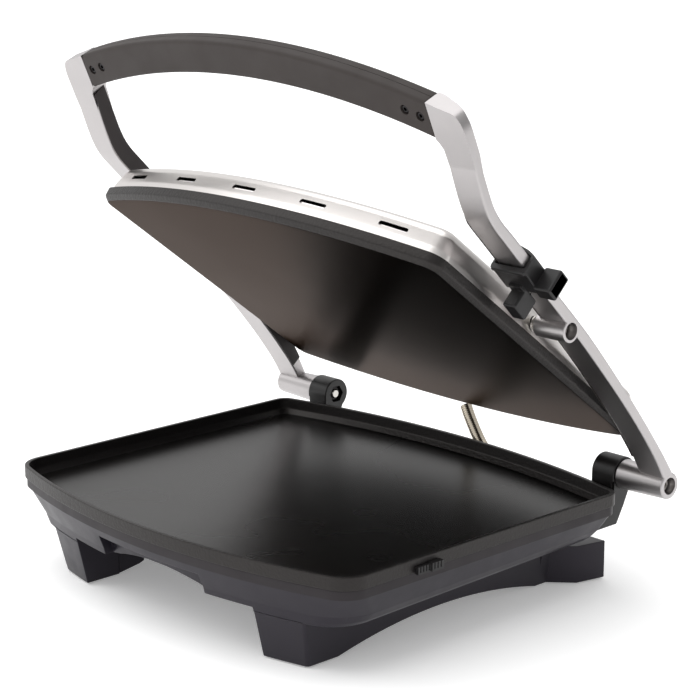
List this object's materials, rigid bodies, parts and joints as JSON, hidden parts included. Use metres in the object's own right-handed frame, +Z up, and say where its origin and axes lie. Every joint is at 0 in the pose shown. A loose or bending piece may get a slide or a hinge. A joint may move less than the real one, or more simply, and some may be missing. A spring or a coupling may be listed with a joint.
{
  "type": "panini press",
  "caption": "Contact grill with a non-stick lower plate on a legged housing and a floating steel-clad upper plate hung between two swing arms joined by a bowed grip.",
  "frame": {"origin": "centre of the outer box, on the surface the press stands on", "axes": "+X to the user's right along the hinge, +Y to the rear, +Z up; the press is open as stored"},
  "size_m": [0.3912, 0.3136, 0.3703],
  "materials": {
    "housing": "charcoal moulded heat-resistant plastic, fine satin grain",
    "bezel": "dark charcoal moulded plastic",
    "nonstick": "black-brown non-stick coating with a fine speckle on cast plates",
    "steel": "brushed stainless steel, satin",
    "aluminium": "satin die-cast aluminium",
    "fastener": "plated steel",
    "grip": "warm dark grey matte plastic",
    "liner": "black moulded plastic",
    "clip": "black nylon, slightly worn edges",
    "lug": "black glass-filled nylon",
    "rubber": "matte black rubber",
    "conduit": "wound steel conduit",
    "ceramic": "cream ceramic",
    "lens": "clear red indicator lens"
  },
  "bodies": {
    "base": {"base_housing": "housing", "bottom_cover": "housing", "foot_pad_front_left": "rubber", "foot_pad_front_right": "rubber", "foot_pad_rear_left": "rubber", "foot_pad_rear_right": "rubber", "cover_screw_1": "fastener", "cover_screw_2": "fastener", "cover_screw_3": "fastener", "cover_screw_4": "fastener", "lower_bezel": "bezel", "lower_plate": "nonstick", "lower_element": "fastener", "lower_heat_shield": "steel", "lower_thermostat": "ceramic", "terminal_block": "ceramic", "hinge_lug_left": "lug", "hinge_lug_right": "lug", "hinge_bolt_left": "fastener", "hinge_bolt_right": "fastener", "hinge_nut_left": "fastener", "hinge_nut_right": "fastener", "lock_catch": "clip", "cord_gland": "rubber", "wire_conduit": "conduit"},
    "arms": {"arm_left": "aluminium", "arm_right": "aluminium", "arm_liner_left": "liner", "arm_liner_right": "liner", "grip_front": "grip", "grip_rear": "grip", "grip_core": "fastener", "grip_screw_1": "fastener", "grip_screw_2": "fastener", "grip_screw_3": "fastener", "grip_screw_4": "fastener"},
    "lid": {"lid_shell": "steel", "lid_chassis": "liner", "upper_plate": "nonstick", "upper_element": "fastener", "upper_heat_shield": "steel", "upper_thermostat": "ceramic", "indicator_power": "lens", "indicator_ready": "lens", "pivot_screw_left": "fastener", "pivot_screw_right": "fastener", "pivot_spacer_left": "fastener", "pivot_spacer_right": "fastener"},
    "height_clip": {"height_clip": "clip"}
  },
  "joints": [
    {"name": "arm_hinge", "type": "hinge", "parent": "base", "child": "arms", "pos_m": [-0.00735, 0.13851, 0.0741], "axis": [-1, 0, 0], "range_deg": [-48.5, 40], "deforming": ["wire_conduit"]},
    {"name": "lid_tilt", "type": "hinge", "parent": "arms", "child": "lid", "pos_m": [-0.00735, 0.03562, 0.19585], "axis": [-1, 0, 0], "range_deg": [-9.6, 11.6]},
    {"name": "clip_slide", "type": "slide", "parent": "arms", "child": "height_clip", "axis": [0, -0.7011, 0.7131], "range_m": [-0.02, 0.008]}
  ],
  "couplings": [
    {"joint": "lid_tilt", "follows": "arm_hinge", "ratio": -0.2343}
  ]
}
